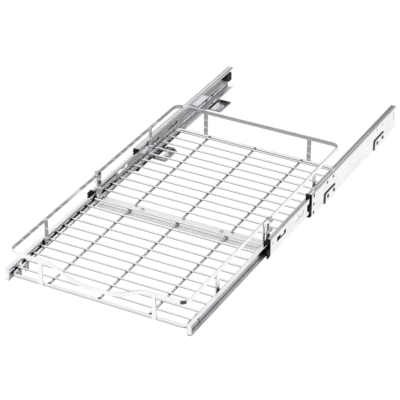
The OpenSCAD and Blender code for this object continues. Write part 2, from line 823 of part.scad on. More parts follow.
outer_slide(-1);  // outer_slide_left
outer_slide(1);  // outer_slide_right
bracket(-1, bracket_ys[0], true);  // front_bracket_left
bracket(1, bracket_ys[0], true);  // front_bracket_right
bracket(-1, bracket_ys[1], false);  // rear_bracket_left
bracket(1, bracket_ys[1], false);  // rear_bracket_right
bracket_rivets(-1);  // bracket_rivets_left
bracket_rivets(1);  // bracket_rivets_right
outer_guide(-1);  // outer_guide_left
outer_guide(1);  // outer_guide_right
rear_bumper(-1);  // rear_bumper_left
rear_bumper(1);  // rear_bumper_right
middle_slide(-1);  // middle_slide_left
middle_slide(1);  // middle_slide_right
middle_guide(-1);  // middle_guide_left
middle_guide(1);  // middle_guide_right
outer_ball_cage(-1);  // outer_ball_cage_left
outer_ball_cage(1);  // outer_ball_cage_right
outer_balls(-1);  // outer_balls_left
outer_balls(1);  // outer_balls_right
inner_ball_cage(-1);  // inner_ball_cage_left
inner_ball_cage(1);  // inner_ball_cage_right
inner_balls(-1);  // inner_balls_left
inner_balls(1);  // inner_balls_right
inner_slide(-1);  // inner_slide_left
inner_slide(1);  // inner_slide_right
slide_lugs();
slide_screws();
front_frame_wire();
rear_frame_wire();
front_cross_wires();
rear_cross_wires();
front_long_wires();
rear_long_wires();
front_end_wire();
front_rail();
rear_rail();
front_posts();
rear_posts();
front_joint_plate();
rear_joint_plate();
plate_screws();
plate_nuts();
joint_straps();
strap_screws();
strap_nuts();
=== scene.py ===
# %% [markdown]
# # Pull-out cabinet basket
# This file dresses the CAD model of a chrome wire basket on ball-bearing slides. The CAD holds
# the sizes and the joints. Here every sheet edge gets its radius, every wire its weld beads,
# and every metal and plastic its finish: first the camera, then the finishes, then the pieces.

# %% Load the CAD frame
import math
import random
import bmesh
import bpy
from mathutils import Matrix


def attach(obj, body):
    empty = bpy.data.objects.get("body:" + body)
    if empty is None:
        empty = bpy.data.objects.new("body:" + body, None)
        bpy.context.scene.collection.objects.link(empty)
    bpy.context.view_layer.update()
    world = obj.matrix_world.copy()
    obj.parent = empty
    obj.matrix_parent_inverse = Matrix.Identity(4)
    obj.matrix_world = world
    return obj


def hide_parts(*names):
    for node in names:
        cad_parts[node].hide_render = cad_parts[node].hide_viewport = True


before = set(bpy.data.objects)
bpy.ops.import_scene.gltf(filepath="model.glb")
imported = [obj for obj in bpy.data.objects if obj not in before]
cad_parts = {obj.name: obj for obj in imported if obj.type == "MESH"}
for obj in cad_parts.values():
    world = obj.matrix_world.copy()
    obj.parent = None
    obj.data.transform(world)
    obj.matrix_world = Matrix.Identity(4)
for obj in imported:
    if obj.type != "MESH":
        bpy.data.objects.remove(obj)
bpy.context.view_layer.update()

# %% [markdown]
# ## Camera
# The place and the lens come from a fit of the basket's wires and rail corners to the
# picture: seen from the front right, 28 degrees round and 31 degrees up, from 3 m away. The
# picture was cropped off centre, so the lens is shifted by that same small amount.

# %% Make the camera
AZIMUTH, ELEVATION = math.radians(28.274), math.radians(31.194)
CAMERA_PLACE = (1.21089, -2.56554, 1.56976)
LENS_MM, SHIFT_X, SHIFT_Y = 167.26, 0.0472, 0.0510

scene = bpy.context.scene
camera = bpy.data.objects.new("camera", bpy.data.cameras.new("camera"))
scene.collection.objects.link(camera)
camera.data.lens = LENS_MM
camera.data.sensor_width = 36.0
camera.data.shift_x, camera.data.shift_y = SHIFT_X, SHIFT_Y
camera.location = CAMERA_PLACE
camera.rotation_euler = (math.pi / 2 - ELEVATION, 0, AZIMUTH)
scene.camera = camera
scene.view_settings.view_transform = "Standard"
print("camera", [round(c, 3) for c in camera.location], "lens", LENS_MM)

# %% [markdown]
# ## Sums on sockets
# A finish is a network of shader nodes. Wiring every Math node by hand hides the sum, so one
# small class stands for "the value on this socket" and lets + - * write the nodes.

# %% Values on sockets
class Tap:
    """The value on one output of a node, ready for sums."""

    def __init__(self, network, socket):
        self.network, self.socket = network, socket

    def sum(self, operation, first, second):
        return self.network.add("Math", {"operation": operation}, first, second)

    def __add__(self, other): return self.sum("ADD", self, other)
    def __radd__(self, other): return self.sum("ADD", other, self)
    def __sub__(self, other): return self.sum("SUBTRACT", self, other)
    def __rsub__(self, other): return self.sum("SUBTRACT", other, self)
    def __mul__(self, other): return self.sum("MULTIPLY", self, other)
    def __rmul__(self, other): return self.sum("MULTIPLY", other, self)


print("sums on sockets: + - * and their reflected forms")

# %% [markdown]
# ## Networks and materials
# A Network is one tree of nodes. Its method `add` makes a node of any kind and hands back the
# value on one of its outputs. Noise is read from the object's own coordinates in metres, so a
# finish stays put when the basket slides. A stretched noise gives roll streaks, an even one
# cloudy plating. A Finish is the network of one material, with the settings of its shader.

# %% Nodes in a tree
MIX_COLOURS, MIX_RESULT = slice(6, 8), 2  # the colour sockets of a Mix node


class Network:
    """The nodes in one tree, a material's or the room's."""

    def __init__(self, tree):
        self.tree = tree

    def plug(self, socket, value):
        if isinstance(value, Tap):
            self.tree.links.new(value.socket, socket)
        elif socket.type == "RGBA":
            socket.default_value = (*value, 1.0)
        else:
            socket.default_value = value

    def add(self, kind, settings, *values, out=0, **named):
        """Adds a node: its settings first, then its inputs in order or by name."""
        node = self.tree.nodes.new("ShaderNode" + kind)
        for key, value in settings.items():
            if key == "stops":
                for place, _ in value[2:]:
                    node.color_ramp.elements.new(place)
                for stop, (place, tone) in zip(node.color_ramp.elements, value):
                    stop.position, stop.color = place, (tone, tone, tone, 1.0)
            else:
                setattr(node, key, value)
        for socket, value in zip(node.inputs, values):
            self.plug(socket, value)
        for name, value in named.items():
            self.plug(node.inputs[name.replace("_", " ")], value)
        return Tap(self, node.outputs[out])

    def noise(self, scale, stretch=(1, 1, 1), detail=2.0):
        spot = self.add("TexCoord", {}, out="Object")
        spot = self.add("Mapping", {}, Vector=spot, Scale=stretch)
        return self.add("TexNoise", {}, Vector=spot, Scale=scale, Detail=detail)

    def grade(self, value, *stops):
        """Maps a value through a ramp of (place, tone) stops."""
        return self.add("ValToRGB", {"stops": stops}, value)

    def tint(self, share, first, second):
        """A colour between two colours."""
        mixed = self.add("Mix", {"data_type": "RGBA"}, share, out=MIX_RESULT)
        for socket, colour in zip(mixed.socket.node.inputs[MIX_COLOURS], (first, second)):
            self.plug(socket, colour)
        return mixed

    def relief(self, height, distance):
        """A bump from a height between 0 and 1, distance in metres."""
        return self.add("Bump", {}, Height=height, Distance=distance)


print("nodes are added by Network")


# %% A material
class Finish(Network):
    """One material and the nodes in it."""

    def __init__(self, name):
        self.material = bpy.data.materials.new(name)
        self.material.use_nodes = True
        super().__init__(self.material.node_tree)
        self.shader = self.tree.nodes["Principled BSDF"]

    def set(self, **values):
        for name, value in values.items():
            self.plug(self.shader.inputs[name.replace("_", " ")], value)
        return self.material


print("materials are built by Finish")

# %% [markdown]
# ## Chrome on wire
# The tray is drawn steel wire, welded, then polished by nickel and chrome plating. Plating
# keeps the wire's faint draw marks and the bath leaves slight clouds, so both the colour and
# the roughness wander a little; a bump a few microns high breaks up the mirror.
#
# In the corners, where wires cross and sheets meet, shade is painted into the colour: an
# occlusion value of a few millimetres finds those places and darkens the metal there. The long
# wires lie under all the others, and their greyer colour is painted shade.

# %% Chrome for the wires
CLOUDS_PER_M, FINE_PER_M, PAINTED_SHADE_TONE = 38.0, 1400.0, 0.07
CHROME = (0.93, 0.935, 0.945), (0.86, 0.87, 0.885)


def bright_metal(name, light, dark, rough, spread, streak, grain, height, reach=0.004,
                 corners=(0.18, 0.72)):
    """A plated metal: clouds in colour and roughness, a streaky bump, painted shade in corners."""
    finish = Finish(name)
    clouds = finish.grade(finish.noise(CLOUDS_PER_M, detail=4.0), (0.35, 0.0), (0.65, 1.0))
    lines = finish.noise(grain, streak, detail=3.0)
    fine = finish.noise(FINE_PER_M)
    # painted shade: the occlusion value darkens the base colour where wires cross, in corners and
    # inside channels
    unshaded_share = finish.add("AmbientOcclusion", {"samples": 8}, Distance=reach, out="AO")
    unshaded_share = finish.grade(unshaded_share, (corners[0], 0.0), (corners[1], 1.0))
    corner = [PAINTED_SHADE_TONE * tone for tone in dark]
    colour = finish.tint(clouds * 0.7 + lines * 0.3, dark, light)
    return finish.set(
        Base_Color=finish.tint(unshaded_share, corner, colour), Metallic=1.0,
        Roughness=rough + spread * (lines * 0.6 + clouds * 0.4),
        Normal=finish.relief(lines * 0.75 + fine * 0.25, height))


ACROSS, ALONG, EVEN = (0.06, 1, 1), (1, 0.06, 1), (1, 1, 1)
wire_chrome = bright_metal("wire_chrome", *CHROME, 0.035, 0.05, EVEN, 420.0, 0.000012)
# painted shade: the long wires get a greyer copy of the wire chrome because they lie under the
# cross wires
shaded_chrome = bright_metal("shaded_chrome", (0.66, 0.665, 0.675), (0.54, 0.55, 0.565),
                          0.05, 0.06, EVEN, 420.0, 0.000012)
print("finishes:", wire_chrome.name, shaded_chrome.name)

# %% [markdown]
# ## Chrome on flat strip, and the plates
# The rail and posts are flat steel strip with the same plating. Strip is rolled, so its grain
# runs along it. The floor plates are plated sheet and look the whitest and the dullest.

# %% Chrome for the strip and the plates
strip_chrome = bright_metal("strip_chrome", *CHROME, 0.11, 0.08, EVEN, 260.0, 0.000012)
plate_chrome = bright_metal("plate_chrome", (0.97, 0.97, 0.975), (0.93, 0.935, 0.94),
                            0.38, 0.10, ACROSS, 300.0, 0.000006, 0.001)
# painted shade: the near-black bead colour darkens every crossing and weld, partly burnt weld,
# partly the shade between the wires
burnt_and_shaded_weld = bright_metal("burnt_and_shaded_weld", (0.20, 0.20, 0.205), (0.07, 0.07, 0.072),
                         0.20, 0.16, EVEN, 900.0, 0.00006)
print("finishes:", strip_chrome.name, plate_chrome.name, burnt_and_shaded_weld.name)

# %% [markdown]
# ## Zinc on rolled steel
# The slide members are cold-rolled from bright zinc-plated strip: nearly a mirror, with long
# fine streaks the rolls leave along the member. The brackets are stamped from thicker sheet
# and are a little duller; screws, nuts and rivets are small and dull from handling. Two finishes
# hold painted shade: a near-black one for the dark lines round the bracket uprights and along the
# bend over the inner member's lower flange, and a grey one for that flange, dulled by grease.

# %% Zinc finishes
ZINC = (0.90, 0.905, 0.915), (0.80, 0.81, 0.83)
slide_zinc = bright_metal("slide_zinc", *ZINC, 0.05, 0.07, ALONG, 520.0, 0.000008, 0.006,
                          (0.35, 0.92))
bracket_zinc = bright_metal("bracket_zinc", *ZINC, 0.10, 0.10, EVEN, 240.0, 0.000010, 0.004,
                            (0.3, 0.85))
fastener_zinc = bright_metal("fastener_zinc", (0.80, 0.81, 0.83), (0.62, 0.63, 0.66),
                             0.18, 0.14, EVEN, 700.0, 0.00003)
cage_steel = bright_metal("cage_steel", (0.72, 0.72, 0.70), (0.58, 0.58, 0.57),
                          0.26, 0.12, ALONG, 500.0, 0.00003)
ball_steel = bright_metal("ball_steel", (0.90, 0.90, 0.91), (0.82, 0.82, 0.84),
                          0.05, 0.05, EVEN, 800.0, 0.000005)
# painted shade: a near-black steel for the dark lines round the bracket uprights and along the
# inner member's bend
painted_shade_steel = bright_metal("painted_shade_steel", (0.16, 0.16, 0.165), (0.09, 0.09, 0.092),
                          0.40, 0.15, ALONG, 500.0, 0.00003)
# painted shade: the race's grey darkens the inner member's lower flange, which is also dull from
# grease
dull_shaded_race = bright_metal("dull_shaded_race", (0.66, 0.66, 0.67), (0.50, 0.50, 0.51),
                          0.30, 0.12, ALONG, 500.0, 0.00003)
dark_screw = bright_metal("dark_screw", (0.22, 0.225, 0.235), (0.12, 0.125, 0.135),
                          0.24, 0.16, EVEN, 700.0, 0.00003)
print("finishes:", slide_zinc.name, bracket_zinc.name, fastener_zinc.name)

# %% [markdown]
# ## Black plastic and rubber
# The guides at the slide mouths are moulded acetal: a fine spark-eroded grain, satin, with
# handling marks where the grain is rubbed smooth. The stop behind is rubber: matt, with a
# trace of dust, greyer on the clouds.

# %% Plastic and rubber
SMEARS_PER_M = 90.0


def moulded(name, light, dark, rough, spread, grain, height, level):
    """A moulded black material: mottled tone, and a fine eroded grain in the bump."""
    finish = Finish(name)
    clouds = finish.grade(finish.noise(SMEARS_PER_M, detail=4.0), (0.38, 0.0), (0.68, 1.0))
    pores = finish.noise(grain, detail=3.0)
    return finish.set(
        Base_Color=finish.tint(clouds, dark, light),
        Roughness=rough + spread * (1 - clouds), Specular_IOR_Level=level,
        Normal=finish.relief(pores, height))


black_plastic = moulded("black_plastic", (0.018, 0.018, 0.019), (0.007, 0.007, 0.008),
                        0.44, 0.14, 2600.0, 0.00003, 0.07)
black_rubber = moulded("black_rubber", (0.034, 0.033, 0.032), (0.014, 0.014, 0.014),
                       0.62, 0.18, 1500.0, 0.00005, 0.3)
print("finishes:", black_plastic.name, black_rubber.name)

# %% [markdown]
# ## Outlines
# Nearly every part is bent strip or sheet. So the basic tools are a path with rounded
# corners, the outline of a strip that follows it, and a rounded rectangle. All are plain
# lists of points in millimetres. A bend is drawn like a bender makes it: the corner is
# replaced by an arc that touches both legs.

# %% Paths
SAME_POINT = 1e-3  # points closer than this are one


def arc(centre, radius, start, end, steps):
    """Points on a circle, angles in degrees."""
    turns = [math.radians(start + (end - start) * i / steps) for i in range(steps + 1)]
    return [(centre[0] + radius * math.cos(t), centre[1] + radius * math.sin(t)) for t in turns]


def bend(corners, radii, steps=6):
    """A path through the corners, each inner one rounded with its radius."""
    path = [corners[0]]
    for before, corner, after, radius in zip(corners, corners[1:], corners[2:], radii):
        back, ahead = ([(c - m) / math.dist(end, corner) for c, m in zip(end, corner)]
                       for end in (before, after))
        half = math.acos(max(-1, min(1, back[0] * ahead[0] + back[1] * ahead[1]))) / 2
        if math.pi / 2 - half < 0.01 or radius <= 0:
            path.append(corner)
            continue
        reach, touch = radius / math.sin(half), radius / math.tan(half)
        middle = [b + a for b, a in zip(back, ahead)]
        centre = [c + m / math.hypot(*middle) * reach for c, m in zip(corner, middle)]
        start, end = (math.atan2(corner[1] + way[1] * touch - centre[1],
                                 corner[0] + way[0] * touch - centre[0]) for way in (back, ahead))
        end = start + (end - start + math.pi) % (2 * math.pi) - math.pi
        path += arc(centre, radius, math.degrees(start), math.degrees(end), steps)
    path.append(corners[-1])
    return [p for p, before in zip(path, [None] + path)
            if not before or math.dist(p, before) > SAME_POINT]


print("a bend of radius 2 has", len(bend([(0, 0), (9, 0), (9, 9)], (2,))) - 2, "points")

# %% [markdown]
# ## Strips and sections
# A strip has two sides, each half a thickness beside the path. Every point of the path gets a
# normal, stretched where the path turns, so that the sheet keeps its thickness round a bend.

# %% Outlines
def normals(path, closed=False):
    """The unit normal to the left of a path at each point, stretched at mitres."""
    sides = []
    count = len(path)
    for i in range(count):
        ways = []
        for a, b in ((i - 1, i), (i, i + 1)):
            if closed or 0 <= a and b < count:
                start, end = path[a % count], path[b % count]
                length = math.dist(start, end)
                if length > 1e-9:
                    ways.append(((start[1] - end[1]) / length, (end[0] - start[0]) / length))
        x, y = sum(w[0] for w in ways), sum(w[1] for w in ways)
        scale = len(ways) / max(x * x + y * y, 0.2)
        sides.append((x * scale, y * scale))
    return sides


def offset(path, amount, closed=False):
    return [(p[0] + n[0] * amount, p[1] + n[1] * amount)
            for p, n in zip(path, normals(path, closed))]


def ribbon(path, thickness, ease=0.25):
    """The outline of a strip whose middle follows the path, its two edges eased."""
    def slid(start, end):
        return tuple(s + (e - s) * ease / math.dist(start, end) for s, e in zip(start, end))
    path = [path[0], slid(*path[:2])] + path[1:-1] + [slid(path[-1], path[-2]), path[-1]]
    half = [thickness / 2 - ease] + [thickness / 2] * (len(path) - 2) + [thickness / 2 - ease]
    sides = normals(path)
    left = [(p[0] + n[0] * h, p[1] + n[1] * h) for p, n, h in zip(path, sides, half)]
    right = [(p[0] - n[0] * h, p[1] - n[1] * h) for p, n, h in zip(path, sides, half)]
    return left + right[::-1]


def rounded(corners, radius, steps=4):
    """A closed outline with all its corners rounded by one radius, or by one each."""
    radii = radius if isinstance(radius, (list, tuple)) else [radius] * len(corners)
    ring = [corners[-1], *corners, corners[0]]
    return bend(ring, radii, steps)[1:-1]


def box(x0, x1, y0, y1):
    return [(x0, y0), (x1, y0), (x1, y1), (x0, y1)]


print("a 10 x 2 strip section has", len(rounded(box(-5, 5, -1, 1), 0.5)), "points")

# %% [markdown]
# ## Solids
# A solid is skinned from rings of points: a slab is one outline pushed along an axis with
# eased edges, a sweep carries a section along a path in plan, and a turned part spins its
# profile. Holes are cut afterwards with Blender's exact Boolean, by a cutter whose mouths
# flare, so that each hole has the small chamfer of a real punched and plated one.

# %% Skinned solids
class Form:
    """A solid in millimetres: points, and the faces between them."""

    def __init__(self):
        self.points, self.faces = [], []

    def skin(self, rings, loop=False):
        """Joins rings of equal length; an open row of rings gets end caps."""
        start, count = len(self.points), len(rings[0])
        for ring in rings:
            self.points += [tuple(p) for p in ring]
        for row in range(len(rings) if loop else len(rings) - 1):
            a, b = start + row * count, start + (row + 1) % len(rings) * count
            for i in range(count):
                j = (i + 1) % count
                self.faces.append((a + i, a + j, b + j, b + i))
        if not loop:
            last = start + (len(rings) - 1) * count
            self.faces.append(tuple(range(start, start + count))[::-1])
            self.faces.append(tuple(range(last, last + count)))
        return self

    def slab(self, outline, low, high, put, ease=0.25):
        """Pushes an outline from low to high; put(a, b, c) says where a point lands."""
        turn = sum(p[0] * q[1] - q[0] * p[1] for p, q in zip(outline, outline[1:] + outline[:1]))
        inner = offset(outline, ease if turn > 0 else -ease, closed=True) if ease else outline
        levels = [(inner, low), (outline, low + ease), (outline, high - ease), (inner, high)]
        if not ease:
            levels = levels[1:3]
        return self.skin([[put(a, b, c) for a, b in ring] for ring, c in levels])

    def sweep(self, path, section, height, lift=None, ease=0.4):
        """Carries a section (across, up) along a path in plan."""
        rise = lift or (lambda x, y: 0.0)
        rings = [[(p[0] + n[0] * a, p[1] + n[1] * a, height + b + rise(*p)) for a, b in section]
                 for p, n in zip(path, normals(path))]
        for end, near in ((0, 1), (-1, -2)):
            middle = [sum(c) / len(section) for c in zip(*rings[end])]
            length = math.dist(path[near], path[end])
            way = [(p - q) / length for p, q in zip(path[near], path[end])] + [0.0]
            stout = max(math.dist(middle, p) for p in rings[end])
            cap = [[m + (c - m) * (1 - ease / stout) for c, m in zip(p, middle)]
                   for p in rings[end]]
            full = [[c + w * ease for c, w in zip(p, way)] for p in rings[end]]
            rings[end:end + 1 or None] = [cap, full] if end == 0 else [full, cap]
        return self.skin(rings)

    def turned(self, profile, put, sides=24, loop=False, radius=None):
        """Spins (radius, height) pairs; put(a, b, c) says where a point lands."""
        shape = radius or (lambda r, turn: r)
        turns = [2 * math.pi * i / sides for i in range(sides)]
        return self.skin([[put(shape(r, t) * math.cos(t), shape(r, t) * math.sin(t), h)
                           for t in turns] for r, h in profile], loop)

    def join(self, *others):
        for other in others:
            start = len(self.points)
            self.points += other.points
            self.faces += [tuple(start + i for i in face) for face in other.faces]
        return self

    def placed(self, put):
        copy = Form()
        copy.points = [put(*p) for p in self.points]
        copy.faces = list(self.faces)
        return copy

    def mesh(self, name, scale=1.0):
        mesh = bpy.data.meshes.new(name)
        mesh.from_pydata([[c * scale for c in p] for p in self.points], [], self.faces)
        work = bmesh.new()
        work.from_mesh(mesh)
        bmesh.ops.remove_doubles(work, verts=work.verts, dist=1e-5 * scale)
        bmesh.ops.recalc_face_normals(work, faces=work.faces)
        work.to_mesh(mesh)
        work.free()
        return mesh

    def cut(self, cutter):
        """Takes the cutter's solids out of this one."""
        body = bpy.data.objects.new("body", self.mesh("body"))
        tool = bpy.data.objects.new("tool", cutter.mesh("tool"))
        for thing in (body, tool):
            scene.collection.objects.link(thing)
        knife = body.modifiers.new("knife", "BOOLEAN")
        knife.operation, knife.solver, knife.object = "DIFFERENCE", "EXACT", tool
        knife.use_self = True
        result = bpy.data.meshes.new_from_object(
            body.evaluated_get(bpy.context.evaluated_depsgraph_get()))
        self.points = [tuple(v.co) for v in result.vertices]
        self.faces = [tuple(f.vertices) for f in result.polygons]
        for mesh in (body.data, tool.data, result):
            bpy.data.meshes.remove(mesh)  # its object goes with it
        return self


def plate(outline, radius, low, high, put, ease=0.3):
    """A slab of an outline with rounded corners."""
    return Form().slab(rounded(outline, radius), low, high, put, ease)


print("forms: slab, sweep, turned, cut, plate")

# %% [markdown]
# ## Where things are put
# Both sides of the basket are mirror images, so every side part is drawn once for the right
# and mirrored. Slide sections are drawn as (u, v): u from the slide's outer face towards the
# basket, v up from its middle.
#
# A piece may have faces with another finish, such as edges painted dark as shade. A rule picks
# them by their normal and centre. Most pieces ride on the basket, the others say which body they
# ride on.

# %% Places
SLIDE_OUT, SLIDE_Z = 167.1, 23.0
SIDES = (("left", -1), ("right", 1))


def in_plan(a, b, c): return (a, b, c)
def from_side(a, b, c): return (c, a, b)
def from_front(a, b, c): return (a, c, b)
def in_slide(u, v, y): return (SLIDE_OUT - u, y, SLIDE_Z + v)
def along_slide(y, v, u): return (SLIDE_OUT - u, y, SLIDE_Z + v)


def mirrored(form, side):
    return form.placed(lambda x, y, z: (side * x, y, z))


def both(form):
    return mirrored(form, 1).join(mirrored(form, -1))


def holes(spots, radius, low, high, put, flare, sides=20):
    """A cutter for round holes between two faces, with flared mouths."""
    mouth, clear = radius + flare, 0.5
    profile = [(mouth + clear, low - clear), (mouth, low), (radius, low + flare),
               (radius, high - flare), (mouth, high), (mouth + clear, high + clear)]
    cutter = Form()
    for at_a, at_b in spots:
        cutter.turned(profile, lambda a, b, c: put(at_a + a, at_b + b, c), sides)
    return cutter


print("right side drawn, left side mirrored")

# %% Finishing a piece
SHARP = math.radians(32)


def piece(name, form, finish, slot, *nodes, body="basket", rule=None):
    """Makes the Blender object of a form, puts it on its body and hides the CAD nodes it replaces.

    A rule gives 0, 1 or 2 for a face: the piece's finish, near-black painted shade, or the grey
    race with painted shade."""
    mesh = form.mesh(name, 0.001)
    mesh.materials.append(finish)
    if rule:
        mesh.materials.append(painted_shade_steel)
        mesh.materials.append(dull_shaded_race)
        for face in mesh.polygons:
            face.material_index = int(rule(face.normal, face.center * 1000))
    mesh.shade_smooth()
    mesh.set_sharp_from_angle(angle=SHARP)
    thing = bpy.data.objects.new(name, mesh)
    scene.collection.objects.link(thing)
    thing.modifiers.new("even_shading", "WEIGHTED_NORMAL").keep_sharp = True
    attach(thing, body)
    if nodes:
        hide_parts(*nodes)
    print(f"{name}: {len(mesh.polygons)} faces on {body}")


def pair(name, form, body, finish, slot, node, rule=None):
    """The left and the right piece of a form; a body's name that ends in _ gets its side."""
    for side, way in SIDES:
        piece(name + side, mirrored(form, way), finish, slot, node + side,
              body=body + side if body[-1] == "_" else body, rule=rule)


print("faces that meet at more than", round(math.degrees(SHARP)), "degrees keep a sharp edge")

# %% [markdown]
# ## Frame wires
# Each half of the tray has a U of 5.6 mm wire with tight round corners. A swept circle makes
# it; the sheared ends are eased because the plating rounds them.

# %% Frame wires
HALF_W, FRAME_R, FRAME_Z, CORNER_R = 151.2, 2.8, 22.0, 7.0
FRONT_Y, REAR_Y, SEAM_FRONT, SEAM_REAR = -577.25, -44.25, -318.75, -317.15


def circle(radius, sides=20):
    return arc((0, 0), radius, 0, 360 * (1 - 1 / sides), sides - 1)


def u_path(x, y_bar, y_end, radius, steps):
    """A U in plan: the bar at y_bar, the ends at y_end, both corners rounded."""
    corners = [(-x, y_end), (-x, y_bar), (x, y_bar), (x, y_end)]
    return bend(corners, (radius, radius), steps)


def frame_wire(y_bar, y_end):
    path = u_path(HALF_W, y_bar, y_end, CORNER_R, 10)
    return Form().sweep(path, circle(FRAME_R), FRAME_Z)


for name, y_bar, y_end in (("front", FRONT_Y, SEAM_FRONT), ("rear", REAR_Y, SEAM_REAR)):
    piece(name + "_frame", frame_wire(y_bar, y_end), wire_chrome, "chrome_wire",
          name + "_frame_wire")

# %% [markdown]
# ## Cross wires, long wires and the end wire
# The cross wires lie on the frame and on the three long wires, and are pressed into them a
# little by spot welding. They stop just past the frame wire, sheared and eased.

# %% Cross wires and long wires
CROSS_R, CROSS_Z, CROSS_REACH = 1.5, 26.25, 152.7
LONG_R, LONG_Z, LONG_X = 1.9, 22.9, (-87.8, 0.0, 87.8)
END_Y, END_Z, END_R = -327.85, 26.75, 2.0
FRONT_ROWS = [-561.15 + 23.33 * i for i in range(10)]
REAR_ROWS = [-293.15 + 23.56 * i for i in range(11)]


def wire_across(y, z, radius):
    return Form().sweep([(-CROSS_REACH, y), (CROSS_REACH, y)], circle(radius, 14), z)


def wire_along(x, y0, y1):
    return Form().sweep([(x, y0), (x, y1)], circle(LONG_R, 16), LONG_Z)


for name, rows in (("front", FRONT_ROWS), ("rear", REAR_ROWS)):
    wires = Form().join(*[wire_across(y, CROSS_Z, CROSS_R) for y in rows])
    piece(name + "_cross", wires, wire_chrome, "chrome_wire", name + "_cross_wires")
for name, y0, y1 in (("front", -574.65, -321.85), ("rear", -307.85, -46.85)):
    wires = Form().join(*[wire_along(x, y0, y1) for x in LONG_X])
    piece(name + "_long", wires, shaded_chrome, "chrome_wire", name + "_long_wires")
piece("front_end", wire_across(END_Y, END_Z, END_R), wire_chrome, "chrome_wire", "front_end_wire")

# %% [markdown]
# ## Weld beads
# Every crossing is resistance welded, which squeezes a small flattened bead out between the
# two wires. A squashed turned form at each crossing, each a little different, gives them.

# %% Weld beads
FRAME_TOUCH, LONG_TOUCH = 24.75, 24.78  # heights where the cross wires touch the others
dice = random.Random(7)
BEAD = [(0.35, -1.0), (0.75, -0.7), (1.0, -0.2), (1.0, 0.2), (0.75, 0.7), (0.35, 1.0)]


def bead(x, y, z, rx, ry, rz):
    wide, tall = dice.uniform(0.88, 1.12), dice.uniform(0.85, 1.1)
    return Form().turned(BEAD, lambda a, b, c: (x + a * rx * wide, y + b * ry, z + c * rz * tall),
                         12)


beads = Form()
for y in FRONT_ROWS + REAR_ROWS:
    beads.join(*[bead(x, y, FRAME_TOUCH, 2.3, 2.2, 0.9) for x in (-HALF_W, HALF_W)])
    beads.join(*[bead(x, y, LONG_TOUCH, 2.2, 2.0, 0.8) for x in LONG_X])
for x in (-HALF_W, *LONG_X, HALF_W):
    beads.join(bead(x, END_Y, FRAME_TOUCH, 2.6, 2.5, 0.9))
for x in LONG_X:
    for y, way in ((FRONT_Y + 2.2, 1), (REAR_Y - 2.2, -1)):
        beads.join(Form().turned([(2.75, 0.0), (2.5, 0.8), (2.1, 1.7), (1.92, 2.8), (1.6, 3.0)],
                                 lambda a, b, c: (x + a, y + way * c, LONG_Z + b), 14))
piece("wire_welds", beads, burnt_and_shaded_weld, "chrome_wire")

# %% [markdown]
# ## Rails
# The rail is 7.2 x 1.8 mm flat strip on edge, bent round the corners, and stands a few
# millimetres outside the frame wires. In front it dips in one smooth wave for the fingers. The
# strip's section is swept in plan and lowered by the wave.

# %% Rails
RAIL_T, RAIL_H, RAIL_TOP, RAIL_R = 1.8, 7.2, 70.8, 14.0
FRONT_RAIL_X, FRONT_RAIL_Y = 152.9, -583.75
REAR_RAIL_X, REAR_RAIL_Y = 155.2, -42.4
DIP_HALF, DIP_DEPTH, DIP_POWER = 91.0, 22.7, 1.5
CORNER_STEPS, DIP_STEPS = 12, 45
STRIP = rounded(box(-RAIL_T / 2, RAIL_T / 2, -RAIL_H / 2, RAIL_H / 2), 0.5, 3)


def finger_dip(x, y):
    away = abs(x) / DIP_HALF
    if away >= 1 or y > FRONT_RAIL_Y + RAIL_R:
        return 0.0
    return -DIP_DEPTH * (1 + math.cos(math.pi * away ** DIP_POWER)) / 2


def rail(x, y_bar, y_end, lift=None):
    path = u_path(x, y_bar, y_end, RAIL_R, CORNER_STEPS)
    if lift:
        span, bar = x - RAIL_R, CORNER_STEPS + 2
        front = [(span * (i / DIP_STEPS - 1), y_bar) for i in range(1, 2 * DIP_STEPS)]
        path = path[:bar] + front + path[bar:]
    return Form().sweep(path, STRIP, RAIL_TOP - RAIL_H / 2, lift, ease=0.3)


print("dip in the middle:", finger_dip(0, FRONT_RAIL_Y), "mm")

# %% [markdown]
# ## Posts
# Short pieces of the same strip. The side ones lap inside the rail and stand on the frame
# wire; the ones in front and behind are welded against the outside of the wire, and those in
# front lean out to the rail. Each is spot-welded, which leaves a shallow dimple inside.

# %% Posts
POST_TOP, POST_W, END_POST_X, KNEE = 68.8, 7.2, 98.3, RAIL_TOP - RAIL_H
END_FOOT, SIDE_POST_W, SEAM_POST_W = 22.0, 10.0, 11.0
SIDE_POSTS = {"front": (FRONT_RAIL_X - RAIL_T, 24.75, [(-479.5, SIDE_POST_W), (-321.65, 5.0)]),
              "rear": (REAR_RAIL_X - RAIL_T, 24.43,
                       [(-140.0, SIDE_POST_W), (-311.65, SEAM_POST_W)])}
END_POSTS = {"front": (FRONT_RAIL_Y + RAIL_T, FRONT_Y, 1, 1.05),  # place, wire, way in, lean
             "rear": (REAR_RAIL_Y + RAIL_T, REAR_Y, -1, 0.0)}
DIMPLE = [(0.62 * r, 0.35 * c)
          for r, c in ((0.5, -0.7), (1.3, -0.45), (1.8, 0.0), (2.1, 0.4), (2.3, 1.2))]
DIMPLE_Z, DIMPLE_MIN_W = RAIL_TOP - 5.2, 6.0


def post(width, foot, put, inward, lean=0.0):
    """One post; put(a, b, c) has a along its width, b up and c from its top's middle plane."""
    half = width / 2
    form = plate(box(-half, half, foot, POST_TOP), (0.3, 0.3, 1.4, 1.4), -RAIL_T / 2,
                 RAIL_T / 2, in_plan)
    form.points = [put(a, b, c + lean * max(0.0, (KNEE - b) / (KNEE - foot)))
                   for a, b, c in form.points]
    if width < DIMPLE_MIN_W:
        return form
    return form.cut(Form().turned(
        DIMPLE, lambda p, q, c: put(p, DIMPLE_Z + q, inward * (RAIL_T / 2 + c)), 14))


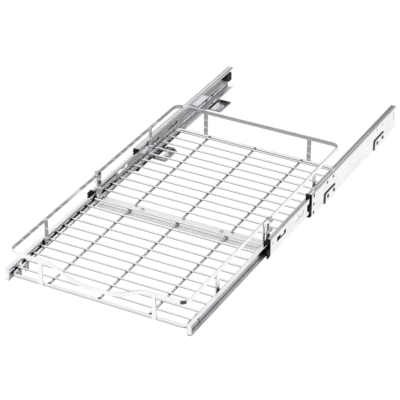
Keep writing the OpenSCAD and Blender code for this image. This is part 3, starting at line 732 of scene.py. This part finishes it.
def posts(which, foot_beads):
    form = Form()
    x, foot, spots = SIDE_POSTS[which]
    top, bar, way, lean = END_POSTS[which]
    for y, width in spots:
        for side in (-1, 1):
            form.join(post(width, foot, lambda a, b, c: (side * (x + c), y + a, b), -1))
            foot_beads.join(bead(side * (x - 0.3), y, foot, 2.0, width / 2 + 0.4, 0.9))
    for x in (-END_POST_X, END_POST_X):
        form.join(post(POST_W, END_FOOT, lambda a, b, c: (x + a, top + c, b), way, lean))
        foot_beads.join(bead(x, bar - way * 2.9, 23.4, 4.0, 1.6, 0.8))
    return form


foot_beads = Form()
piece("front_post_strips", posts("front", foot_beads), strip_chrome, "chrome_strip", "front_posts")
rear_strips = posts("rear", foot_beads)
piece("post_welds", foot_beads, burnt_and_shaded_weld, "chrome_strip")

# %% [markdown]
# ## Screws and nuts
# The basket is held by small pan-head screws with a cross recess. The head is turned, the
# recess cut by two tapered crossing blades, and the thread is a row of ridges 0.7 mm apart.

# %% Screws and nuts
SCREW_R, THREAD, HEAD_R, HEAD_H = 2.0, 0.7, 3.6, 1.8
NUT_HALF, NUT_H = 3.5, 2.4
HEAD = [(0.6, HEAD_H), (1.8, 1.7), (2.6, 1.5), (3.2, 1.1), (3.52, 0.65), (HEAD_R, 0.3),
        (3.5, 0.05), (3.3, 0.0)]
RECESS = ((HEAD_H + 0.4, 2.15, 0.52), (0.55, 1.5, 0.32))  # height, reach and half width


def screw(length, put):
    """A pan-head screw along c, its head above c = 0."""
    ridges = []
    for i in range(int((length - 1.0) / THREAD)):
        ridges += [(SCREW_R, -0.3 - i * THREAD), (SCREW_R - 0.3, -0.65 - i * THREAD)]
    profile = HEAD + ridges + [(SCREW_R - 0.4, -length + 0.5), (SCREW_R - 0.9, -length)]
    form = Form().turned(profile, put, 20)
    cutter = Form()
    for crosswise in (False, True):
        rings = []
        for level, reach, half in RECESS:
            ring = box(-reach, reach, -half, half)
            rings.append([put(*((a, b) if crosswise else (b, a)), level) for a, b in ring])
        cutter.skin(rings)
    return form.cut(cutter)


def hex_shape(limit):
    """Radius of a hexagon with its corners turned off at a limit."""
    def shape(radius, turn):
        if radius < NUT_HALF:
            return radius
        away = (turn + math.pi / 6) % (math.pi / 3) - math.pi / 6
        return min(NUT_HALF / math.cos(away), limit[radius])
    return shape


def nut(put):
    """A hexagon nut from c = 0 to its height, with chamfered corners and a bored thread."""
    corner = NUT_HALF / math.cos(math.pi / 6)
    limit = {3.5: 3.62, 3.6: corner}
    profile = [(3.5, 0.0), (3.6, 0.35), (3.6, NUT_H - 0.35), (3.5, NUT_H), (2.35, NUT_H),
               (2.03, NUT_H - 0.3), (2.03, 0.3), (2.35, 0.0)]
    return Form().turned(profile, put, 36, loop=True, radius=hex_shape(limit))


print("screw and nut ready")

# %% [markdown]
# ## The joint of the halves
# At each seam a strap lies outside the rail, with a leg down the broad rear post; two screws
# from inside and two nuts outside hold it. Across the floor two lapped plates are screwed
# together: the rear one lies on top, the front one is joggled under it.

# %% Straps and their screws
SEAM_SCREWS, SCREW_Y, SCREW_IN = (66.5, 49.8), -311.65, REAR_RAIL_X - 1.5 * RAIL_T
STRAP_T, STRAP_IN, STRAP_Z = 1.5, REAR_RAIL_X + RAIL_T / 2, (63.6, 70.2)
LEG = [(-317.6, 63.6), (-316.65, 63.6), (-316.65, 45.3), (-306.65, 45.3), (-306.65, 63.6),
       (-304.95, 63.6), (-304.95, 70.2), (-317.6, 70.2)]
LEG_RADII = 0.3, 0.4, 2.0, 2.0, 0.5, 0.7, 1.5, 0.3


def strap_holes(low, high):
    return holes([(SCREW_Y, z) for z in SEAM_SCREWS], 2.25, low, high, from_side, 0.15)


front_x, rear_x = (x + (RAIL_T + STRAP_T) / 2 for x in (FRONT_RAIL_X, REAR_RAIL_X))
joggle = bend([(front_x, -330.95), (front_x, -321.2), (rear_x, -318.4), (rear_x, -316.9)],
              (1.2, 1.2), 5)
strap = plate(LEG, LEG_RADII, STRAP_IN, STRAP_IN + STRAP_T, from_side)
strap.cut(strap_holes(STRAP_IN, STRAP_IN + STRAP_T))
strap.join(Form().slab(ribbon(joggle, STRAP_T, 0.3), *STRAP_Z, in_plan, 0.3))
piece("seam_straps", both(strap), bracket_zinc, "bracket_steel", "joint_straps")

screws, nuts = Form(), Form()
for z in SEAM_SCREWS:
    screws.join(screw(8.5, lambda a, b, c: (SCREW_IN - c, SCREW_Y + b, z + a)))
    nuts.join(nut(lambda a, b, c: (STRAP_IN + STRAP_T + c, SCREW_Y + b, z + a)))
piece("seam_screws", both(screws), dark_screw, "dark_screws", "strap_screws")
piece("seam_nuts", both(nuts), fastener_zinc, "fasteners", "strap_nuts")

# %% Rails and rear posts with the strap's holes
both_holes = both(strap_holes(SCREW_IN, STRAP_IN))
front_strip = rail(FRONT_RAIL_X, FRONT_RAIL_Y, SEAM_FRONT, finger_dip)
rear_strip = rail(REAR_RAIL_X, REAR_RAIL_Y, SEAM_REAR).cut(both_holes)
piece("front_rail_strip", front_strip, strip_chrome, "chrome_strip", "front_rail")
piece("rear_rail_strip", rear_strip, strip_chrome, "chrome_strip", "rear_rail")
piece("rear_post_strips", rear_strips.cut(both_holes), strip_chrome, "chrome_strip", "rear_posts")

# %% Floor plates and their screws
PLATE_X, PLATE_SCREWS_X, PLATE_SCREW_Y = 144.9, (-72.0, 72.0), -312.85
PLATE_T, LOW_FACE, LAP_FACE, TOP_FACE = 1.5, 18.0, 19.5, 21.0


def plate_holes(low, high):
    spots = [(x, PLATE_SCREW_Y) for x in PLATE_SCREWS_X]
    return holes(spots, 2.2, low, high, in_plan, 0.15)


top_plate = plate(box(-PLATE_X, PLATE_X, -327.85, -303.85), 2.0, LAP_FACE, TOP_FACE, in_plan)
top_plate.cut(plate_holes(LAP_FACE, TOP_FACE))
high, low = TOP_FACE - PLATE_T / 2, LAP_FACE - PLATE_T / 2
joggle = bend([(-337.15, high), (-329.3, high), (-327.9, low), (-305.85, low)], (1.2, 1.2), 5)
low_plate = Form().slab(ribbon(joggle, PLATE_T), -PLATE_X, PLATE_X, from_side, 0.3)
low_plate.cut(plate_holes(LOW_FACE, LAP_FACE))
piece("floor_plate_rear", top_plate, plate_chrome, "chrome_plate", "rear_joint_plate")
piece("floor_plate_front", low_plate, plate_chrome, "chrome_plate", "front_joint_plate")

screws, nuts = Form(), Form()
for x in PLATE_SCREWS_X:
    screws.join(screw(6.4, lambda a, b, c: (x + a, PLATE_SCREW_Y + b, TOP_FACE + c)))
    nuts.join(nut(lambda a, b, c: (x + a, PLATE_SCREW_Y + b, LOW_FACE - NUT_H + c)))
piece("floor_plate_screws", screws, fastener_zinc, "fasteners", "plate_screws")
piece("floor_plate_nuts", nuts, fastener_zinc, "fasteners", "plate_nuts")

# %% [markdown]
# ## Lugs
# Round-ended tabs hang inside the side frame wires, and a screw through each one holds the
# tray to the inner slide member.

# %% Lugs and their screws
LUG_Y, LUG_SCREW_Z, LUG_IN, LUG_OUT = (-564.5, -544.0, -302.25), 16.6, 146.9, 148.4
LUG_W, LUG_LOW, LUG_TOP = 11.0, 11.0, 23.5


def lug_holes(places, low, high):
    return holes([(y, LUG_SCREW_Z) for y in places], 2.25, low, high, from_side, 0.15)


def lug(y):
    half = LUG_W / 2
    outline = rounded(box(y - half, y + half, LUG_LOW, LUG_TOP), (5.4, 5.4, 1.0, 1.0), 8)
    form = Form().slab(outline, LUG_IN, LUG_OUT, from_side, 0.3)
    return form.cut(lug_holes((y,), LUG_IN, LUG_OUT))


lugs, screws, lug_beads = Form(), Form(), Form()
for y in LUG_Y:
    lugs.join(lug(y))
    screws.join(screw(9.5, lambda a, b, c: (LUG_IN - c, y + b, LUG_SCREW_Z + a)))
    lug_beads.join(bead(148.7, y, 23.4, 1.0, 5.0, 0.8), bead(148.7, y, 20.2, 0.9, 4.6, 0.7))
piece("lug_tabs", both(lugs), bracket_zinc, "bracket_steel", "slide_lugs")
piece("lug_screws", both(screws), fastener_zinc, "fasteners", "slide_screws")
piece("lug_welds", both(lug_beads), burnt_and_shaded_weld, "bracket_steel")

# %% [markdown]
# ## Outer slide members
# A slide member is one strip of sheet, roll-formed. The outer one is a C whose lips curl
# round the balls. Its section is a ribbon along a bent path, run back as a slab; the top and
# bottom sink slightly between the bend and the ball race, as rolling leaves them. Three small
# notches near its mouth hold the noses of the black guide.

# %% Sheet members and their windows
SHEET = 1.2


def member(half, radii, front, rear):
    """A slide member from half of its section: points (u, v) from the web to the lip."""
    lower = [(u, -v) for u, v in half]
    path = bend(lower[::-1] + half, (*radii[::-1], *radii), 7)
    return Form().slab(ribbon(path, SHEET, 0.2), front, rear, in_slide, 0.2)


def window(outline, u0, u1, radius):
    """A cutter for a window in a member's web, between two depths."""
    return plate(outline, radius, u0, u1, along_slide, 0)


print("members are rolled from", SHEET, "mm sheet")

# %% Outer members
OUTER_FRONT, OUTER_REAR, WEB_OUT, WEB_IN = -175.25, 176.75, SLIDE_OUT, SLIDE_OUT - SHEET
BRACKET_Y, PITCH_HALF = (-103.25, 103.25), 11.7
RIVET_Z, SIDE_HOLE_Z = 11.7, 37.0
OUTER_CUT = -0.5, SHEET + 0.5
NOTCHES = ((-15.8, 2.6), (0.0, 2.3), (15.6, 3.2))  # middle and half height


def spots_at(y, z):
    """The two places, front and back of a bracket's middle, for its rivets or holes."""
    return [(y - PITCH_HALF, z), (y + PITCH_HALF, z)]


def rivet_holes(y, low, high):
    return holes(spots_at(y, RIVET_Z), 2.05, low, high, from_side, 0.1)


outer_half = [(0.6, 20.4), (3.4, 20.4), (5.2, 20.05), (7.0, 20.4), (10.95, 20.4), (10.95, 17.75)]
outer = member(outer_half, (1.6, 3.0, 3.0, 3.0, 2.65), OUTER_FRONT, OUTER_REAR)
cutters = Form()
for y in BRACKET_Y:
    cutters.join(rivet_holes(y, WEB_IN, WEB_OUT),
                 holes(spots_at(y, SIDE_HOLE_Z), 2.8, WEB_IN, WEB_OUT, from_side, 0.25))
for v, tall in NOTCHES:
    notch = box(OUTER_FRONT + 4.7, OUTER_FRONT + 10.1, v - tall, v + tall)
    cutters.join(window(notch, *OUTER_CUT, 0.4))
cutters.join(window(box(OUTER_REAR - 11, OUTER_REAR - 9.6, -2, 13), *OUTER_CUT, 0.4))
outer.cut(cutters)
pair("outer_member_", outer, "cabinet_side", slide_zinc, "zinc_steel", "outer_slide_")

# %% [markdown]
# ## Middle and inner members
# The middle member is a smaller C with stamped windows, each with a tongue that latches the
# cage, and a stop notch. The inner one is a channel with its back to the basket, its front end
# folded shut over the opening. Balls run on its flanges, so the lower flange, which shows, is
# dull like a race; its face is greyed and the bend behind it blackened, both painted shade.

# %% Middle members
MIDDLE_FRONT, MIDDLE_REAR, MIDDLE_CUT = -323.25, -3.25, (2.3, 4.5)
WINDOW_LONG, WINDOW_LOW, WINDOW_TOP = 32, -1, 7
TONGUE_START, TONGUE_END, TONGUE_TIP = 13, 25, 2
middle = member([(3.4, 15.1), (10.55, 15.1), (10.55, 12.45)], (1.6, 2.65), MIDDLE_FRONT,
                MIDDLE_REAR)
cutters = window(box(MIDDLE_FRONT + 7, MIDDLE_FRONT + 8.6, 2, 8), *MIDDLE_CUT, 0.4)
for start in (MIDDLE_FRONT + 23, MIDDLE_FRONT + 89, MIDDLE_REAR - 55, MIDDLE_REAR - 121):
    stamped = [(0, WINDOW_LOW), (WINDOW_LONG, WINDOW_LOW), (WINDOW_LONG, WINDOW_TOP),
               (TONGUE_END, WINDOW_TOP), (TONGUE_END, TONGUE_TIP), (TONGUE_START, TONGUE_TIP),
               (TONGUE_START, WINDOW_TOP), (0, WINDOW_TOP)]
    cutters.join(window([(start + y, v) for y, v in stamped], *MIDDLE_CUT, 0.8))
middle.cut(cutters)
pair("middle_member_", middle, "middle_", slide_zinc, "zinc_steel", "middle_slide_")

# %% Inner members
INNER_FRONT, INNER_REAR, INNER_BACK = -583.25, -255.25, 12.1
inner_path = bend([(5.2, -9.8), (INNER_BACK, -9.8), (INNER_BACK, 9.8), (5.2, 9.8)],
                  (1.6, 1.6), 7)
inner = Form().slab(ribbon(inner_path, SHEET, 0.2), INNER_FRONT, INNER_REAR, in_slide, 0.2)
cutters = window(box(INNER_FRONT + 30, INNER_FRONT + 36, -6, 6), 11.0, 13.2, 1.5)
back_x = SLIDE_OUT - INNER_BACK
cutters.join(lug_holes(LUG_Y, back_x - SHEET / 2, back_x + SHEET / 2))
inner.cut(cutters)
fold = plate(box(5.3, 11.7, -9.3, 9.3), (1.2, 0.4, 0.4, 1.2), INNER_FRONT,
             INNER_FRONT + SHEET, in_slide, 0.25)


def race_rule(normal, centre):
    """1 for the bend over the lower flange, painted near black as shade; 2 for the flange's upper
    face, greyed as painted shade.
    """
    if centre.z > SLIDE_Z - 5 or normal.z < 0.25:
        return 0
    return 2 if normal.z > 0.9 else 1


pair("inner_member_", inner.join(fold), "basket", slide_zinc, "zinc_steel", "inner_slide_",
     race_rule)

# %% [markdown]
# ## Floor brackets
# Each bracket is an L of 2 mm sheet: the upright is riveted outside the slide, the foot runs
# under it into the cabinet and takes a floor screw. The front ones have their foot's ends
# turned up as ribs and a window between them. The upright's ends and top are painted near
# black, a painted shade line round the plate.

# %% Brackets
FOOT_IN, BRACKET_HALF, BRACKET_H, BRACKET_T, FLOOR_HOLE_X = 131.4, 21.5, 19.5, 2.0, 139.4


def bracket(y, is_front):
    upright = SLIDE_OUT + BRACKET_T / 2
    path = bend([(upright, BRACKET_H), (upright, BRACKET_T / 2), (FOOT_IN, BRACKET_T / 2)],
                (2.0,), 8)
    form = Form().slab(ribbon(path, BRACKET_T, 0.3), y - BRACKET_HALF, y + BRACKET_HALF,
                       from_front, 0.3)
    cutter = holes([(FLOOR_HOLE_X, y)], 2.5, 0, BRACKET_T, in_plan, 0.3, 28)
    cutter.join(rivet_holes(y, SLIDE_OUT, SLIDE_OUT + BRACKET_T))
    if is_front:
        cutter.join(plate(box(146.9, 152.9, y - 10, y + 10), 1.5, -1, 3, in_plan, 0))
    for end in (-1, 1):  # the corners of the foot and of the upright are cut off
        near, far = y + end * (BRACKET_HALF - 3), y + end * (BRACKET_HALF + 2)
        off_foot = [(FOOT_IN - 1, near), (FOOT_IN + 4, far), (FOOT_IN - 1, far)]
        near, far = near - end, far - end
        off_top = [(near, BRACKET_H + 1), (far, BRACKET_H - 4), (far, BRACKET_H + 1)]
        cutter.join(Form().slab(off_foot, -1, 3, in_plan, 0),
                    Form().slab(off_top, 166, 170, from_side, 0))
    form.cut(cutter)
    if is_front:
        rib = [(134.4, 1.0), (153.4, 1.0), (153.4, 6.0), (136.4, 6.0), (134.4, 4.0)]
        for low in (y - BRACKET_HALF, y + BRACKET_HALF - BRACKET_T):
            form.join(plate(rib, (0.3, 0.3, 1.5, 1.0, 1.0), low, low + BRACKET_T, from_front, 0.4))
    return form


def edge_rule(normal, centre):
    """1 for the edges of the upright plate, its ends and its top, which get the near-black painted
    shade.
    """
    return abs(centre.x) > 155 and (abs(normal.y) > 0.6 or (normal.z > 0.6 and centre.z > 10))


for place, y, is_front in (("front", BRACKET_Y[0], True), ("rear", BRACKET_Y[1], False)):
    pair(place + "_foot_", bracket(y, is_front), "cabinet_side", bracket_zinc, "bracket_steel",
         place + "_bracket_", edge_rule)

# %% [markdown]
# ## Rivets
# Semi-tubular rivets: a flat head inside the slide, and outside the hollow end rolled over
# into a ring.

# %% Rivets
RIVET = [(0.8, -0.5), (2.6, -0.5), (3.0, -0.2), (3.0, 0.0), (2.0, 0.02), (2.0, 3.18),
         (3.4, 3.2), (3.6, 3.45), (3.3, 3.8), (2.6, 4.15), (2.0, 4.2), (1.5, 4.0), (1.15, 3.5),
         (1.1, 2.4), (0.6, 2.2)]
rivets = Form()
for y, z in spots_at(BRACKET_Y[0], RIVET_Z) + spots_at(BRACKET_Y[1], RIVET_Z):
    rivets.turned(RIVET, lambda a, b, c: (WEB_IN + c, y + a, z + b))
pair("rivets_", rivets, "cabinet_side", dark_screw, "fasteners", "bracket_rivets_")

# %% [markdown]
# ## Black guides and stops
# Moulded guides clip on the mouths of the outer and the middle member, where they keep the
# next member centred, and a stop is pressed into the outer member's rear end. All are slabs
# with eased edges, seen from the end or from the side. Small noses of the outer guide snap
# into the member's notches and show outside as three black marks.

# %% Outer guides
def frame_slab(u0, u1, half_v, open_u, open_v, front, rear):
    """A U-shaped plate across a member's mouth."""
    outer_r = 1.4 if open_u - u0 > 1.5 else 0.9
    outline = [(u0, -half_v), (u1, -half_v), (u1, -open_v), (open_u, -open_v),
               (open_u, open_v), (u1, open_v), (u1, half_v), (u0, half_v)]
    radii = (outer_r, 0.7, 0.5, 0.6, 0.6, 0.5, 0.7, outer_r)
    return plate(outline, radii, front, rear, in_slide)


def block(front, outline, radius, u0, u1):
    """An eased block of a guide: its outline (y from the member's front, v), its depths."""
    return plate([(front + y, v) for y, v in outline], radius, u0, u1, along_slide, 0.25)


guide = frame_slab(1.0, 11.55, 21.0, 2.45, 16.05, OUTER_FRONT - 1.6, OUTER_FRONT)
guide.join(block(OUTER_FRONT, box(-7.6, -1.15, -8.5, 3.5), 1.4, 0.35, 2.4),
           block(OUTER_FRONT, box(-6.6, -1.15, 16.1, 20.95), 1.6, 3.0, 9.05),
           block(OUTER_FRONT, box(-4.6, -1.15, -21, -17), 1.0, 2.0, 10.05))
for v, tall in NOTCHES:
    nose = box(4.8, 10.0, v - tall + 0.1, v + tall - 0.1)
    guide.join(block(OUTER_FRONT, nose, 0.35, -0.2, 1.6))
pair("mouth_guide_", guide, "cabinet_side", black_plastic, "black_plastic", "outer_guide_")

# %% Middle guides
mouth = frame_slab(2.8, 11.15, 15.7, 4.85, 10.75, MIDDLE_FRONT - 2.5, MIDDLE_FRONT)
hook = [(-12, 11.6), (-9.95, 10.8), (-1.95, 10.8), (-1.95, 15.65), (-10.35, 15.65), (-12, 13.8)]
mouth.join(block(MIDDLE_FRONT, hook, 0.7, 4.0, 10.1),
           block(MIDDLE_FRONT, box(-10.5, -1.95, -15.6, 0), 0.8, 2.85, 4.8),
           block(MIDDLE_FRONT, box(-8, -0.15, -8.8, 0.95), 0.8, 4.85, 9.45))
pair("hook_guide_", mouth, "middle_", black_plastic, "black_plastic", "middle_guide_")

# %% Stops
stop = [(-24, 2), (-13, 13), (-4, 13), (-2, 10), (-2, -4), (-13, -4)]
stop = [(OUTER_REAR + y, SLIDE_Z + v) for y, v in stop]
bumper = plate(stop, (0.8, 1.5, 0.8, 0.8, 0.8, 1.5), WEB_IN - 8.5, WEB_IN, from_side, 0.4)
pair("end_stop_", bumper, "cabinet_side", black_rubber, "black_rubber", "rear_bumper_")

# %% [markdown]
# ## Balls and cages
# The CAD's balls and cages have the right shape already, deep inside the slides. They only
# get their finishes.

# %% Finish the balls and cages
for name, _ in SIDES:
    for node, finish in (("outer_balls_", ball_steel), ("inner_balls_", ball_steel),
                         ("outer_ball_cage_", cage_steel), ("inner_ball_cage_", black_plastic)):
        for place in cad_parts[node + name].material_slots:
            place.material = finish
print("balls and cages finished")

# %% [markdown]
# ## Floor
# The floor is white and shines a little by itself, so that it prints as plain white without a
# shadow, as in a cut-out product picture.

# %% Floor
def stage_plane(name, x0, x1, y0, y1, z, material, top=None):
    """A flat plane at height z, or one that rises from z to its top."""
    mesh = bpy.data.meshes.new(name)
    corners = [(x0, y0, z), (x1, y0, z), (x1, y1, top or z), (x0, y1, top or z)]
    mesh.from_pydata(corners, [], [(0, 1, 2, 3)])
    mesh.materials.append(material)
    thing = bpy.data.objects.new(name, mesh)
    scene.collection.objects.link(thing)
    return thing


def glow(name, diffuse, tone, share):
    """A surface that is partly painted and partly shines by itself."""
    finish = Finish(name)
    finish.set(Base_Color=(diffuse,) * 3, Roughness=1.0, Specular_IOR_Level=0.0)
    shine = finish.add("Emission", {}, Color=(tone,) * 3, Strength=1.0)
    both_ways = finish.add("MixShader", {}, share,
                           Tap(finish, finish.shader.outputs[0]), shine)
    finish.plug(finish.tree.nodes["Material Output"].inputs["Surface"], both_ways)
    return finish.material


stage_plane("floor", -6, 6, -6, 6, -0.0005, glow("floor_white", 0.9, 1.06, 0.9))
print("floor 12 x 12 m")

# %% [markdown]
# ## Cards that only reflections see
# Chrome has no tone of its own: it shows what it mirrors, and in a white room it would vanish.
# So grey cards stand about, hidden from the camera. One under the tray is a painted shadow of the
# tray on the floor and gives the wires their lower shade. A small one before the right corner
# darkens the bends of rail and wire. Two
# standing flags far behind shade what faces up and back, and a low one at the right draws thin
# lines along the bends of the slides. The cards round the floor grey what leans outwards.

# %% Reflected cards
CARDS = (  # name, x from and to, y from and to, tone, height, top
    # painted shadow: a grey card where the tray's shadow would lie on the floor, seen only in
    # reflections
    ("under_card", -0.168, 0.152, -0.60, 0.20, 0.32, 0.0015, None),
    ("corner_card", 0.155, 0.29, -0.78, -0.59, 0.08, 0.0, None),
    ("back_flag", -0.93, -0.25, 1.95, 1.96, 0.40, 0.0, 2.2),
    ("middle_flag", -0.25, 0.60, 1.95, 1.96, 0.12, 0.0, 2.2),
    ("side_flag", 1.35, 3.0, 1.95, 1.96, 0.08, 0.0, 1.0),
    ("far_back", -6, 6, 0.75, 6, 0.22, 0.0, None),
    ("far_front", -6, 6, -6, -1.2, 0.22, 0.0, None),
    ("far_left", -6, -0.75, -1.2, 0.75, 0.22, 0.0, None),
    ("far_right", 0.75, 6, -1.2, 0.75, 0.22, 0.0, None))

for name, x0, x1, y0, y1, tone, z, top in CARDS:
    card = stage_plane(name, x0, x1, y0, y1, z, glow(name + "_tone", 0.3, tone, 1.0), top)
    card.visible_camera = card.visible_diffuse = card.visible_shadow = False
print(len(CARDS), "cards")

# %% [markdown]
# ## The room
# The light is one even white dome, as from large soft boxes all round. Near the horizon it is
# dark, as a real room is behind the boxes, which gives upright chrome its contrast.

# %% Room light
world = bpy.data.worlds.new("room")
world.use_nodes = True
room = Network(world.node_tree)
height = room.add("SeparateXYZ", {}, room.add("TexCoord", {}, out="Generated"), out="Z")
dome = room.grade(height, (0.0, 0.10), (0.10, 0.14), (0.30, 0.9), (0.5, 1.0))
backdrop = room.tree.nodes["Background"]
room.plug(backdrop.inputs["Color"], dome)
room.plug(backdrop.inputs["Strength"], 1.0)
scene.world = world
print("dome light, dark at the horizon")
